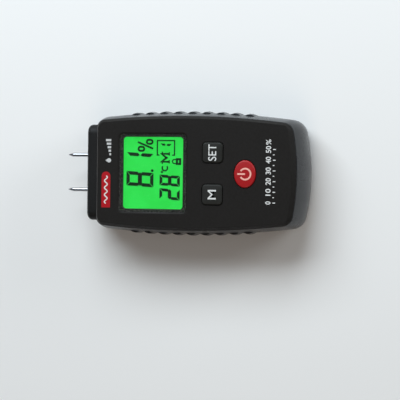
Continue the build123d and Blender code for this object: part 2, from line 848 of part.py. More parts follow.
plates = {
    "battery_plate_positive": (cell_xs[:1], nose_plate_y, True),
    "battery_link_nose": (cell_xs[1:], nose_plate_y, False),
    "battery_link_tail": (cell_xs[:2], tail_plate_y, False),
    "battery_plate_negative": (cell_xs[-1:], tail_plate_y, True),
}
for plate_name, (plate_xs, plate_y, has_tab) in plates.items():
    plate_width = plate_xs[-1] - plate_xs[0] + plate_size
    plate_x = (plate_xs[-1] + plate_xs[0]) / 2
    with BuildPart() as plate:
        with BuildSketch(Plane.XZ.offset(-plate_y)):
            with Locations((plate_x, cell_z)):
                RectangleRounded(plate_width, plate_size, 1.0)
            if has_tab:
                with Locations((plate_x, (cell_z + board_bottom - contact_gap) / 2)):
                    Rectangle(tab_width, board_bottom - contact_gap - cell_z)
        extrude(amount=plate_thickness)
    save(plate.part, plate_name)

# ---------------------------------------------------------------- battery door, screws and label
door_body = outer_block & block_between(-door_half_x, door_half_x, -far, door_nose_y, -1.0, door_thickness)
door_tongues = block_between(
    -door_half_x - door_tongue,
    door_half_x + door_tongue,
    compartment_tail_y,
    door_nose_y,
    door_thickness - door_tongue_thickness,
    door_thickness,
)
with BuildPart() as battery_door:
    add(door_body)
    add(door_tongues)
    # thumb grooves
    with BuildSketch(Plane.XY):
        with Locations((0, door_nose_y - door_grip_inset)):
            with GridLocations(1, door_grip_pitch, 1, door_grip_count):
                SlotOverall(door_grip_width, door_grip_pitch / 2)
    extrude(amount=door_grip_depth, mode=Mode.SUBTRACT)
save(battery_door.part, "battery_door")

with BuildPart() as case_screws:
    with BuildSketch(Plane.XY.offset(screw_sink)):
        with Locations(*post_places):
            Circle(screw_head_radius)
    extrude(amount=screw_head - contact_gap)
    with BuildSketch(Plane.XY.offset(screw_sink)):
        with Locations(*post_places):
            Circle(screw_radius)
    extrude(amount=screw_head + screw_length)
    # cross slots
    with BuildSketch(Plane.XY.offset(screw_sink)):
        with Locations(*post_places):
            Rectangle(2 * screw_radius, screw_slot)
            Rectangle(screw_slot, 2 * screw_radius)
    extrude(amount=screw_head / 2, mode=Mode.SUBTRACT)
save(case_screws.part, "case_screws")

with BuildPart() as rating_label:
    with BuildSketch(Plane.XY.offset(label_sink)):
        with Locations((0, label_y)):
            RectangleRounded(2 * label_half_x, 2 * label_half_y, 1.0)
    extrude(amount=label_thickness)
save(rating_label.part, "rating_label")

print(len(exported), "parts:", ", ".join(exported))
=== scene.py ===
"""The moisture meter's looks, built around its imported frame: the case, display, keys, probes and back.

Lengths are written in millimetres and turned into metres by MM. +Y runs towards the probe tips, +Z out
of the display face, and +X to the right when the display is read with the probes pointing away.
"""
from functools import partial
from math import cos, pi, radians, sin, tan

import bpy
from mathutils import Matrix, Vector
from mathutils.geometry import tessellate_polygon


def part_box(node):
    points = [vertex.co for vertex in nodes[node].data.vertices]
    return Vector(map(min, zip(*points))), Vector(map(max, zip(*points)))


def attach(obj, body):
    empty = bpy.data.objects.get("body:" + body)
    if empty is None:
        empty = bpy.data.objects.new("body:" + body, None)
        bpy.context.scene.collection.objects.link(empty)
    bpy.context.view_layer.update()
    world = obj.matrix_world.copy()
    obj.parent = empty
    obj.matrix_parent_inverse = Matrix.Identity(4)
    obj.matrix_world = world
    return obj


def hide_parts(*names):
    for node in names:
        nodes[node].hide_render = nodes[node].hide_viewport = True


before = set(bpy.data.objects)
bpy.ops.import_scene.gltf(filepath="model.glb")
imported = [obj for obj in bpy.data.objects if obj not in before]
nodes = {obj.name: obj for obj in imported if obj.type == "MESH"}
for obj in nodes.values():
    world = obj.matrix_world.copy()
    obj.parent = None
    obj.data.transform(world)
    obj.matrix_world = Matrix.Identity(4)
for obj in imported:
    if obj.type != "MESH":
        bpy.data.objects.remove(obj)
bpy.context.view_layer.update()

MM = 0.001


def low(node):
    """A CAD piece's lowest corner, in millimetres."""
    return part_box(node)[0] / MM


def high(node):
    """A CAD piece's highest corner, in millimetres."""
    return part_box(node)[1] / MM


def middle(node):
    """The middle of a CAD piece's box, in millimetres."""
    return (low(node) + high(node)) / 2


face_z = high("front_cover").z
display = middle("display_window")
case_length = 110.0
cad_rib_height = 0.75  # how far the CAD's ribs stand out of the side walls
side_drop = 4.8  # how much narrower a side is at the tail than where it is widest
widest_from_nose = 45.9
side_run = case_length - widest_from_nose
side_radius = (side_run**2 + side_drop**2) / (2 * side_drop)


# ---- node trees

def fill(socket, value):
    """Feeds an input from another socket, or gives it a plain value."""
    if isinstance(value, bpy.types.NodeSocket):
        socket.id_data.links.new(value, socket)
    else:
        socket.default_value = value


def add(tree, kind, links=None, **settings):
    """Adds one node. A link is a value for an input, or the socket that feeds it."""
    node = tree.nodes.new(kind)
    for key, value in settings.items():
        setattr(node, key, value)
    for key, value in (links or {}).items():
        fill(node.inputs[key], value)
    return node


def titled(values):
    """The same values by their sockets' names: grain_depth becomes Grain Depth."""
    return {key.replace("_", " ").title(): value for key, value in values.items()}


def feed(inputs, **sockets):
    """Links sockets to inputs: base_color feeds Base Color."""
    for key, socket in titled(sockets).items():
        socket.id_data.links.new(socket, inputs[key])


def tree_of(values):
    """The tree that the sockets among some values are in."""
    return next(value.id_data for value in values if isinstance(value, bpy.types.NodeSocket))


def math(operation, *values):
    """One Math node: its values are numbers or sockets. Returns its result."""
    return add(tree_of(values), "ShaderNodeMath", dict(enumerate(values)), operation=operation).outputs[0]


times, plus, minus = [partial(math, operation) for operation in ("MULTIPLY", "ADD", "SUBTRACT")]


def ramp(value, low_in, high_in, low_out=0.0, high_out=1.0):
    """Carries a value from one range to another, held at its ends."""
    links = {"Value": value, "From Min": low_in, "From Max": high_in, "To Min": low_out, "To Max": high_out}
    return add(value.id_data, "ShaderNodeMapRange", links).outputs[0]


def blend_colors(mask, below, above):
    """Mixes two colours by a mask. A colour is a socket or three numbers."""
    node = add(mask.id_data, "ShaderNodeMix", data_type="RGBA")
    below, above = [(*color, 1.0) if isinstance(color, tuple) else color for color in (below, above)]
    for index, value in ((0, mask), (6, below), (7, above)):
        fill(node.inputs[index], value)
    return node.outputs[2]


def own_place(tree):
    """Where a point is in its piece's own space."""
    return add(tree, "ShaderNodeTexCoord").outputs["Object"]


def noise(place, scale, detail, **more):
    """Smooth noise around a half."""
    links = {"Vector": place, "Scale": scale, "Detail": detail, **titled(more)}
    return add(place.id_data, "ShaderNodeTexNoise", links).outputs[0]


def xyz(**parts):
    """A vector from the parts given. The rest are 0."""
    return add(tree_of(parts.values()), "ShaderNodeCombineXYZ", parts).outputs[0]


def new_group(name, kind, inputs, outputs):
    """A node group with named inputs and outputs: (name, socket type, value)."""
    tree = bpy.data.node_groups.new(name, kind)
    for label, socket, value in inputs:
        item = tree.interface.new_socket(label, in_out="INPUT", socket_type=socket)
        if value is not None:
            item.default_value = value
    for label, socket in outputs:
        tree.interface.new_socket(label, in_out="OUTPUT", socket_type=socket)
    return tree, tree.nodes.new("NodeGroupInput").outputs, tree.nodes.new("NodeGroupOutput").inputs


FLOAT, INTEGER, VECTOR, GEOMETRY = [f"NodeSocket{kind}" for kind in ("Float", "Int", "Vector", "Geometry")]


def moulded_surface_group():
    """Spark-eroded grain, satin patches where hands rub, and soft, slightly worn edges."""
    tree, given, out = new_group(
        "moulded surface", "ShaderNodeTree",
        [("Grain", FLOAT, 3000.0), ("Grain Depth", FLOAT, 0.00002), ("Edge Radius", FLOAT, 0.0002),
         ("Satin", FLOAT, 0.4), ("Matt", FLOAT, 0.6), ("Patches", FLOAT, 70.0)],
        [("Normal", VECTOR), ("Roughness", FLOAT), ("Worn", FLOAT), ("Tone", FLOAT)],
    )
    place = own_place(tree)
    grain = noise(place, given["Grain"], 2.0)
    pits = add(tree, "ShaderNodeTexVoronoi", {"Vector": place, "Scale": given["Grain"]}, feature="SMOOTH_F1")
    height = plus(grain, pits.outputs[0])
    patches = noise(place, given["Patches"], 3.0)
    rub = noise(place, 900.0, 3.0)
    soft = add(tree, "ShaderNodeBevel", {"Radius": given["Edge Radius"]}, samples=4).outputs[0]
    flat = add(tree, "ShaderNodeNewGeometry").outputs["Normal"]
    turn = add(tree, "ShaderNodeVectorMath", {0: soft, 1: flat}, operation="DOT_PRODUCT").outputs["Value"]
    edge = ramp(turn, 0.985, 0.8)
    bump = add(tree, "ShaderNodeBump", {"Strength": 1.0, "Distance": given["Grain Depth"], "Height": height,
                                        "Normal": soft}).outputs[0]
    spread = minus(given["Matt"], given["Satin"])
    gloss = math("MULTIPLY_ADD", ramp(patches, 0.35, 0.65), spread, given["Satin"])
    worn = times(edge, ramp(rub, 0.4, 0.65))
    feed(out, normal=bump, roughness=gloss, worn=worn, tone=ramp(rub, 0.3, 0.7))
    return tree


def settled_dust_group():
    """Pale dust that gathers in grooves and inside corners."""
    tree, given, out = new_group(
        "settled dust", "ShaderNodeTree",
        [("Reach", FLOAT, 0.001), ("Amount", FLOAT, 0.3)], [("Dust", FLOAT)],
    )
    specks = noise(own_place(tree), 1500.0, 4.0)
    open_sky = add(tree, "ShaderNodeAmbientOcclusion", {"Distance": given["Reach"]}, samples=4)
    shelter = ramp(open_sky.outputs["AO"], 0.75, 0.3)
    caught = times(shelter, ramp(specks, 0.42, 0.68))
    feed(out, dust=times(caught, given["Amount"]))
    return tree


def drawn_metal_group():
    """Fine lines round a turned or drawn piece, with slight tarnish."""
    tree, given, out = new_group(
        "drawn metal", "ShaderNodeTree",
        [("Lines", VECTOR, (200.0, 9000.0, 200.0)), ("Bright", FLOAT, 0.2), ("Dull", FLOAT, 0.4)],
        [("Height", FLOAT), ("Roughness", FLOAT), ("Tarnish", FLOAT)],
    )
    place = own_place(tree)
    stretch = add(tree, "ShaderNodeMapping", {"Vector": place, "Scale": given["Lines"]}).outputs[0]
    lines = noise(stretch, 1.0, 3.0)
    stained = ramp(noise(place, 400.0, 4.0), 0.45, 0.7)
    spread = minus(given["Dull"], given["Bright"])
    both = times(plus(lines, stained), 0.5)
    gloss = math("MULTIPLY_ADD", both, spread, given["Bright"])
    feed(out, height=lines, roughness=gloss, tarnish=stained)
    return tree


moulded_surface = moulded_surface_group()
settled_dust = settled_dust_group()
drawn_metal = drawn_metal_group()


def use_group(tree, group, **values):
    """Places a shared group in a material, with its values by name: grain_depth fills Grain Depth."""
    return add(tree, "ShaderNodeGroup", titled(values), node_tree=group).outputs


# ---- materials

def new_material(name, color, roughness, **sockets):
    """A material with its plain values on the Principled shader: coat_weight fills Coat Weight."""
    material = bpy.data.materials.new(name)
    material.use_nodes = True
    shader = material.node_tree.nodes["Principled BSDF"]
    shader.inputs["Base Color"].default_value = (*color, 1.0)
    shader.inputs["Roughness"].default_value = roughness
    names = {key.lower().replace(" ", "_"): key for key in shader.inputs.keys()}
    for key, value in sockets.items():
        shader.inputs[names[key]].default_value = value
    material.diffuse_color = (*color, 1.0)
    return material, material.node_tree, shader.inputs


def moulded(name, color, worn_color, dust_amount=0.25, grain=2600.0, grain_depth=0.00003, edge_radius=0.00025,
            satin=0.42, matt=0.6, **sockets):
    """Moulded plastic or rubber: grain, satin patches, paler edges and a little dust in the grooves."""
    material, tree, shader = new_material(name, color, matt, **sockets)
    skin = use_group(tree, moulded_surface, grain=grain, grain_depth=grain_depth, edge_radius=edge_radius,
                     satin=satin, matt=matt)
    dust = use_group(tree, settled_dust, amount=dust_amount)["Dust"]
    mottled = blend_colors(times(skin["Tone"], 0.25), color, worn_color)
    rubbed = blend_colors(times(skin["Worn"], 0.55), mottled, worn_color)
    dusty = blend_colors(dust, rubbed, (0.30, 0.27, 0.23))
    feed(shader, base_color=dusty, roughness=skin["Roughness"], normal=skin["Normal"])
    return material


def metal(name, color, tarnish_color, lines, bright=0.18, dull=0.38, bump=0.000004):
    """Plain metal with drawn or turned lines and slight tarnish."""
    material, tree, shader = new_material(name, color, dull, metallic=1.0)
    skin = use_group(tree, drawn_metal, lines=lines, bright=bright, dull=dull)
    stained = blend_colors(times(skin["Tarnish"], 0.5), color, tarnish_color)
    ridges = add(tree, "ShaderNodeBump", {"Distance": bump, "Height": skin["Height"]}).outputs[0]
    feed(shader, base_color=stained, roughness=skin["Roughness"], normal=ridges)
    return material


def printed_ink(name, color, faded_color, roughness=0.45, **sockets):
    """Pad-printed ink: slightly uneven, thinner in fine specks."""
    material, tree, shader = new_material(name, color, roughness, **sockets)
    specks = noise(own_place(tree), 4000.0, 3.0)
    feed(shader, base_color=blend_colors(ramp(specks, 0.5, 0.75), color, faded_color),
         roughness=ramp(specks, 0.3, 0.7, roughness - 0.1, roughness + 0.1))
    return material


def backlit_display():
    """The liquid crystal panel, lit evenly from behind by its light guide."""
    material, tree, shader = new_material("display_face", (0.02, 0.16, 0.04), 0.35, emission_strength=0.9,
                                          specular_ior_level=0.2)
    place = own_place(tree)
    uneven = ramp(noise(place, 90.0, 2.0), 0.35, 0.65)
    glow = blend_colors(uneven, (0.011, 0.72, 0.052), (0.019, 0.80, 0.074))
    grit = noise(place, 5000.0, 2.0)
    feed(shader, emission_color=glow, roughness=ramp(grit, 0.3, 0.7, 0.25, 0.45))
    return material


def clear_window():
    """Clear acrylic with faint finger smears."""
    material, tree, shader = new_material("window_clear", (0.97, 0.99, 0.98), 0.02, transmission_weight=1.0,
                                          ior=1.49)
    smears = noise(own_place(tree), 160.0, 5.0, distortion=1.5)
    feed(shader, roughness=ramp(smears, 0.45, 0.75, 0.01, 0.06))
    return material


def board_laminate():
    """Green lacquer over copper tracks on glass fibre board."""
    material, tree, shader = new_material("board_laminate", (0.01, 0.12, 0.04), 0.3, coat_weight=0.4)
    place = own_place(tree)
    tracks = add(tree, "ShaderNodeTexBrick", {"Vector": place, "Scale": 260.0, "Mortar Size": 0.06,
                                             "Brick Width": 1.7, "Row Height": 0.35}).outputs["Fac"]
    weave = noise(place, 2500.0, 2.0)
    green = blend_colors(tracks, (0.008, 0.10, 0.035), (0.02, 0.19, 0.06))
    raised = plus(tracks, times(weave, 0.3))
    bump = add(tree, "ShaderNodeBump", {"Distance": 0.00003, "Height": raised}).outputs[0]
    feed(shader, base_color=green, roughness=ramp(weave, 0.3, 0.7, 0.22, 0.4), normal=bump)
    return material


def cell_sleeve(node):
    """A battery's printed sleeve: bare metal ends, a copper band at the plus end and a grey body."""
    plus_up = node in ("battery_1", "battery_3")
    material, tree, shader = new_material("cell_sleeve_" + node[-1], (0.2, 0.21, 0.22), 0.3, coat_weight=0.3)
    place = own_place(tree)
    along = add(tree, "ShaderNodeSeparateXYZ", {0: place}).outputs["Y"]
    start, end = (low(node).y, high(node).y) if plus_up else (high(node).y, low(node).y)
    share = ramp(along, start * MM, end * MM)
    scuffs = noise(place, 700.0, 5.0)
    band = math("GREATER_THAN", share, 0.76)
    line = times(math("GREATER_THAN", share, 0.735), math("LESS_THAN", share, 0.76))
    metal_end = math("GREATER_THAN", math("ABSOLUTE", minus(share, 0.495)), 0.478)
    body = blend_colors(ramp(scuffs, 0.5, 0.75), (0.05, 0.055, 0.06), (0.075, 0.08, 0.085))
    banded = blend_colors(band, body, (0.55, 0.25, 0.09))
    lined = blend_colors(line, banded, (0.75, 0.75, 0.72))
    feed(shader, base_color=blend_colors(metal_end, lined, (0.62, 0.62, 0.6)),
         metallic=math("MAXIMUM", metal_end, times(band, 0.8)),
         roughness=ramp(scuffs, 0.3, 0.7, 0.22, 0.42))
    return material


ROUND_Y = (200.0, 9000.0, 200.0)  # lines round a piece that lies along Y
ALONG_Y = (6000.0, 150.0, 6000.0)  # lines along Y
ROUND_Z = (300.0, 300.0, 9000.0)  # lines round a piece that stands along Z

legend_ink = printed_ink("legend_ink", (0.70, 0.70, 0.68), (0.58, 0.57, 0.54))
power_ink = printed_ink("power_ink", (0.84, 0.44, 0.36), (0.70, 0.28, 0.22))
grey_ink = printed_ink("grey_ink", (0.55, 0.55, 0.54), (0.42, 0.42, 0.41))
badge_red = printed_ink("badge_red", (0.40, 0.004, 0.010), (0.32, 0.004, 0.009), specular_ior_level=0.25)
segment_dark = printed_ink("segment_dark", (0.001, 0.022, 0.005), (0.002, 0.030, 0.008),
                           specular_ior_level=0.1)
key_rubber = moulded("key_rubber", (0.0135, 0.0135, 0.0115), (0.022, 0.022, 0.019), satin=0.40, matt=0.55,
                     grain=3500.0, grain_depth=0.000012, dust_amount=0.1, specular_ior_level=0.25)
power_rubber = moulded("power_rubber", (0.34, 0.005, 0.007), (0.40, 0.015, 0.018), satin=0.32, matt=0.45,
                       grain=3500.0, grain_depth=0.00001, dust_amount=0.05, specular_ior_level=0.4)
housing_plastic = moulded("housing_plastic", (0.020, 0.021, 0.023), (0.045, 0.047, 0.05), satin=0.24,
                          matt=0.36)
screw_steel = metal("screw_steel", (0.38, 0.38, 0.40), (0.20, 0.20, 0.21), ROUND_Z, bright=0.25, dull=0.45)
spring_steel = metal("spring_steel", (0.70, 0.69, 0.66), (0.50, 0.48, 0.45), ALONG_Y, bright=0.15, dull=0.3)

node_finish = {
    "front_cover": moulded("cover_plastic", (0.0076, 0.0064, 0.0054), (0.018, 0.016, 0.015), satin=0.52,
                           matt=0.62, specular_ior_level=0.18),
    "rear_housing": housing_plastic,
    "battery_door": housing_plastic,
    "nose_collar": moulded("collar_plastic", (0.006, 0.0058, 0.0056), (0.018, 0.018, 0.018),
                           specular_ior_level=0.22),
    "display_window": clear_window(),
    "display_glass": backlit_display(),
    "window_gasket": moulded("gasket_foam", (0.012, 0.012, 0.012), (0.02, 0.02, 0.02), grain_depth=0.0001),
    "display_frame": moulded("frame_plastic", (0.62, 0.62, 0.60), (0.75, 0.75, 0.73)),
    "light_guide": moulded("light_guide", (0.60, 0.85, 0.64), (0.7, 0.9, 0.72), satin=0.1, matt=0.2,
                           subsurface_weight=0.3),
    "circuit_board": board_laminate(),
    "key_mat": moulded("mat_rubber", (0.07, 0.07, 0.075), (0.1, 0.1, 0.1), subsurface_weight=0.1),
    "rating_label": moulded("label_paper", (0.60, 0.60, 0.58), (0.5, 0.5, 0.48), grain=1800.0,
                            grain_depth=0.00001, satin=0.3, matt=0.42),
    "crystal": metal("can_steel", (0.72, 0.72, 0.70), (0.5, 0.5, 0.48), ALONG_Y),
    "thermistor": moulded("bead_glass", (0.30, 0.09, 0.03), (0.4, 0.15, 0.06), satin=0.12, matt=0.25),
    "key_contacts": metal("gold_pad", (0.90, 0.66, 0.28), (0.75, 0.5, 0.2), ALONG_Y, bright=0.12, dull=0.25),
    "resistors": moulded("resistor_body", (0.02, 0.02, 0.021), (0.05, 0.05, 0.05), satin=0.15, matt=0.3),
    "capacitors": moulded("capacitor_ceramic", (0.34, 0.20, 0.10), (0.42, 0.28, 0.16), satin=0.25, matt=0.4),
    "board_screws": screw_steel,
    "case_screws": screw_steel,
}
for group, finish in (
    (("contact_strip_nose", "contact_strip_tail"),
     moulded("contact_rubber", (0.6, 0.42, 0.46), (0.7, 0.55, 0.58))),
    (("controller_chip", "measuring_chip"), moulded("chip_resin", (0.014, 0.014, 0.015), (0.04, 0.04, 0.04))),
    (("set_pill", "mode_pill", "power_pill"),
     moulded("pill_carbon", (0.008, 0.008, 0.008), (0.02, 0.02, 0.02))),
    (("probe_wire_left", "probe_wire_right"), moulded("wire_sleeve", (0.4, 0.012, 0.012), (0.5, 0.05, 0.05))),
    (("probe_socket_left", "probe_socket_right"),
     metal("brass", (0.80, 0.55, 0.20), (0.5, 0.33, 0.12), ROUND_Y)),
    (("probe_pin_left", "probe_pin_right"),
     metal("pin_steel", (0.42, 0.43, 0.45), (0.30, 0.30, 0.31), ROUND_Y, bright=0.1, dull=0.22)),
    (("battery_plate_positive", "battery_plate_negative", "battery_link_nose", "battery_link_tail"),
     metal("plate_steel", (0.68, 0.67, 0.64), (0.5, 0.48, 0.45), ALONG_Y)),
    (("battery_spring_1", "battery_spring_2", "battery_spring_3"), spring_steel),
):
    for node in group:
        node_finish[node] = finish
for node in ("battery_1", "battery_2", "battery_3"):
    node_finish[node] = cell_sleeve(node)
for node, finish in node_finish.items():
    for slot in nodes[node].material_slots:
        slot.material = finish


# ---- making pieces

def settle(piece, body, slot, *replaced):
    """Hands a finished piece to its body and hides what it stands for."""
    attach(piece, body)
    if replaced:
        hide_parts(*replaced)


def new_object(name, data):
    """An object in the scene."""
    holder = bpy.data.objects.new(name, data)
    bpy.context.scene.collection.objects.link(holder)
    return holder


def evaluated_mesh(holder):
    """The plain mesh that an object comes to. The object is removed."""
    bpy.context.view_layer.update()
    mesh = bpy.data.meshes.new_from_object(holder.evaluated_get(bpy.context.evaluated_depsgraph_get()))
    bpy.data.objects.remove(holder)
    return mesh


def new_piece(name, points, faces, material, sharp):
    """A mesh from points in millimetres, smooth except where faces meet at more than the sharp angle."""
    mesh = bpy.data.meshes.new(name)
    mesh.from_pydata([Vector(point) * MM for point in points], [], faces)
    mesh.materials.append(material)
    mesh.shade_smooth()
    mesh.set_sharp_from_angle(angle=radians(sharp))
    return new_object(name, mesh)


def arc_points(center, radius, start, end, steps):
    """Points along an arc, with its angles in degrees."""
    angles = [radians(start + (end - start) * i / steps) for i in range(steps + 1)]
    return [(center[0] + radius * cos(angle), center[1] + radius * sin(angle)) for angle in angles]


def rounded_outline(half_x, half_y, corner, steps=8):
    """Round a rounded rectangle, anticlockwise. With equal halves and corner it is a circle."""
    points = []
    for i, (side_x, side_y) in enumerate(((1, 1), (-1, 1), (-1, -1), (1, -1))):
        center = (side_x * (half_x - corner), side_y * (half_y - corner))
        points += arc_points(center, corner, 90 * i, 90 * (i + 1), steps)
    return points


def oval_outline(half_x, half_y, steps=8):
    """Round an ellipse, with as many points as a rounded outline."""
    count = 4 * (steps + 1)
    angles = [2 * pi * (i + 0.5) / count for i in range(count)]
    return [(half_x * cos(angle), half_y * sin(angle)) for angle in angles]


def wall_faces(count, levels):
    """The faces between rings of points, one ring above another."""
    faces = []
    for start in range(0, (levels - 1) * count, count):
        for i in range(count):
            j = (i + 1) % count
            faces.append((start + i, start + j, start + count + j, start + count + i))
    return faces


def stack_rings(name, rings, material, sharp):
    """A closed solid through rings of equally many points, from its bottom ring to its top ring."""
    count = len(rings[0])
    points = [point for ring in rings for point in ring]
    faces = [tuple(reversed(range(count)))] + wall_faces(count, len(rings))
    faces.append(tuple(range(len(points) - count, len(points))))
    return new_piece(name, points, faces, material, sharp)


class Print:
    """Gathers thin printed shapes, drawn in millimetres about a place on the meter, and makes one piece."""

    def __init__(self, origin, bottom, thickness):
        self.origin, self.bottom, self.top = origin, bottom, bottom + thickness
        self.points, self.faces = [], []

    def put(self, outline, height):
        """Adds a row of points at one height and returns their numbers."""
        start = len(self.points)
        self.points += [(self.origin[0] + x, self.origin[1] + y, height) for x, y in outline]
        return list(range(start, len(self.points)))

    def slab(self, outline):
        """A filled shape with its outline anticlockwise."""
        low_row, high_row = self.put(outline, self.bottom), self.put(outline, self.top)
        self.faces += [tuple(reversed(low_row)), tuple(high_row)]
        for i in range(len(outline)):
            j = (i + 1) % len(outline)
            self.faces.append((low_row[i], low_row[j], high_row[j], high_row[i]))

    def band(self, left, right, closed=False):
        """A shape between its left and right edges, as seen along its run."""
        left_low, left_high = self.put(left, self.bottom), self.put(left, self.top)
        right_low, right_high = self.put(right, self.bottom), self.put(right, self.top)
        count = len(left)
        for i in range(count if closed else count - 1):
            j = (i + 1) % count
            self.faces += [
                (left_high[i], right_high[i], right_high[j], left_high[j]),
                (left_low[j], right_low[j], right_low[i], left_low[i]),
                (left_low[i], left_high[i], left_high[j], left_low[j]),
                (right_low[j], right_high[j], right_high[i], right_low[i]),
            ]
        if not closed:
            self.faces.append((left_low[0], right_low[0], right_high[0], left_high[0]))
            self.faces.append((left_high[-1], right_high[-1], right_low[-1], left_low[-1]))

    def stroke(self, path, width, closed=False):
        """A line of even width along a path, with mitred corners."""
        left, right = [], []
        count = len(path)
        for i, point in enumerate(path):
            before = path[i - 1] if closed or i > 0 else None
            after = path[(i + 1) % count] if closed or i < count - 1 else None
            here = Vector(point)
            run_in = (here - Vector(before)).normalized() if before is not None else None
            run_out = (Vector(after) - here).normalized() if after is not None else None
            run_in, run_out = run_in or run_out, run_out or run_in
            normal = Vector((-run_in.y - run_out.y, run_in.x + run_out.x)).normalized()
            reach = width / 2 / max(normal.dot(Vector((-run_in.y, run_in.x))), 0.5)
            left.append(tuple(here + normal * reach))
            right.append(tuple(here - normal * reach))
        self.band(left, right, closed)

    def text(self, words, center, width, height, weight):
        """Words in the plain built-in face, stretched to a width and a height."""
        curve = bpy.data.curves.new("words", "FONT")
        curve.body, curve.offset, curve.resolution_u, curve.extrude = words, weight, 4, 0.5
        shape = evaluated_mesh(new_object("words", curve))
        xs, ys = [v.co.x for v in shape.vertices], [v.co.y for v in shape.vertices]
        x_mid, y_mid = (min(xs) + max(xs)) / 2, (min(ys) + max(ys)) / 2
        x_scale, y_scale = width / (max(xs) - min(xs)), height / (max(ys) - min(ys))
        start = len(self.points)
        for v in shape.vertices:
            x = self.origin[0] + center[0] + (v.co.x - x_mid) * x_scale
            y = self.origin[1] + center[1] + (v.co.y - y_mid) * y_scale
            self.points.append((x, y, self.top if v.co.z > 0 else self.bottom))
        self.faces += [tuple(start + i for i in face.vertices) for face in shape.polygons]
        bpy.data.meshes.remove(shape)

    def piece(self, name, material, slot, body="case"):
        """Makes what was gathered one piece that rides on a body."""
        settle(new_piece(name, self.points, self.faces, material, 20.0), body, slot)


# ---- display

def digit(ink, place, width, height, line, lit, lean=3.5, gap=0.16):
    """Lights a seven-segment digit's segments: a top, b and c right, d bottom, e and f left, g middle."""
    half, mid = 0.62 * line, height / 2
    across = {
        "a": [(gap, height), (line + gap, height - line), (width - line - gap, height - line),
              (width - gap, height)],
        "g": [(gap, mid), (half + gap, mid - half), (width - half - gap, mid - half), (width - gap, mid),
              (width - half - gap, mid + half), (half + gap, mid + half)],
        "d": [(gap, 0), (width - gap, 0), (width - line - gap, line), (line + gap, line)],
    }
    upright = [(0, height - gap), (0, mid + gap + half), (half, mid + gap), (line, mid + half + gap),
               (line, height - line - gap)]
    across["f"] = upright
    across["e"] = [(x, height - y) for x, y in reversed(upright)]
    across["b"] = [(width - x, y) for x, y in reversed(upright)]
    across["c"] = [(width - x, height - y) for x, y in upright]
    slope = tan(radians(lean))
    for name in lit:
        ink.slab([(place[0] + x + y * slope, place[1] + y) for x, y in across[name]])


def display_reading():
    """What the display shows: a moisture reading of 8.1 %, 28 degrees, mode 1 in its box, and hold."""
    ink = Print((display.x, display.y), high("display_glass").z, 0.05)
    large = {"width": 7.4, "height": 14.4, "line": 1.75}
    small = {"width": 5.5, "height": 10.7, "line": 1.45}
    digit(ink, (-7.4, 0.0), lit="abcdefg", **large)
    ink.slab(arc_points((1.15, 0.7), 0.72, 0, 345, 23))
    digit(ink, (2.3, 0.0), lit="bc", **large)
    digit(ink, (-13.9, -14.0), lit="abged", **small)
    digit(ink, (-6.9, -14.0), lit="abcdefg", **small)
    digit(ink, (12.2, -9.6), 2.6, 6.1, 1.05, "bc")
    # percent sign
    ink.stroke([(12.4, 0.3), (15.8, 8.5)], 0.95)
    for center in ((12.3, 6.6), (15.9, 2.2)):
        ring = [(center[0] + x, center[1] + y) for x, y in rounded_outline(1.0, 1.5, 0.95, 5)]
        ink.stroke(ring, 1.0, closed=True)
    # degrees sign and C
    ink.stroke([(0.6 + x, -4.5 + y) for x, y in rounded_outline(0.45, 0.45, 0.45, 4)], 0.4, closed=True)
    ink.stroke(arc_points((2.6, -6.0), 1.4, 50, 310, 16), 0.75)
    # box that holds the mode number, broken on its left by the mode letter
    ink.stroke([(9.2, -3.1), (9.2, -1.9), (16.6, -1.9), (16.6, -11.0), (9.2, -11.0), (9.2, -9.8)], 0.65)
    ink.stroke([(5.8, -8.6), (5.8, -4.3), (7.8, -6.9), (9.8, -4.3), (9.8, -8.6)], 1.1)
    for foot_x, foot_y in ((5.8, -8.3), (9.8, -8.3), (5.5, -4.6), (10.1, -4.6)):
        ink.stroke([(foot_x - 0.85, foot_y), (foot_x + 0.85, foot_y)], 0.6)
    # padlock
    lock = [(4.75, -14.05), (7.15, -14.05), (7.15, -12.35), (4.75, -12.35)]
    ink.stroke(lock, 1.1, closed=True)
    ink.stroke([(4.95, -11.8)] + arc_points((5.95, -11.0), 1.0, 180, 0, 10) + [(6.95, -11.8)], 0.6)
    ink.piece("display_segments", segment_dark, "segment_dark")


# ---- keys

key_edge = 0.7  # radius round a key's top
edge_steps = 6
key_crown = 0.06  # how much higher the middle of a key's top is
key_flange = 1.0
flange_thickness = 1.0
flange_below_face = 2.6
column_radius = 4.2
legend_sunk, legend_thickness = 0.05, 0.06


def square_key(half_x, half_y, inset):
    """Round a key with rounded corners."""
    return rounded_outline(half_x - inset, half_y - inset, max(2.0 - inset, 0.4))


def oval_key(half_x, half_y, inset):
    """Round an oval key."""
    return oval_outline(half_x - inset, half_y - inset)


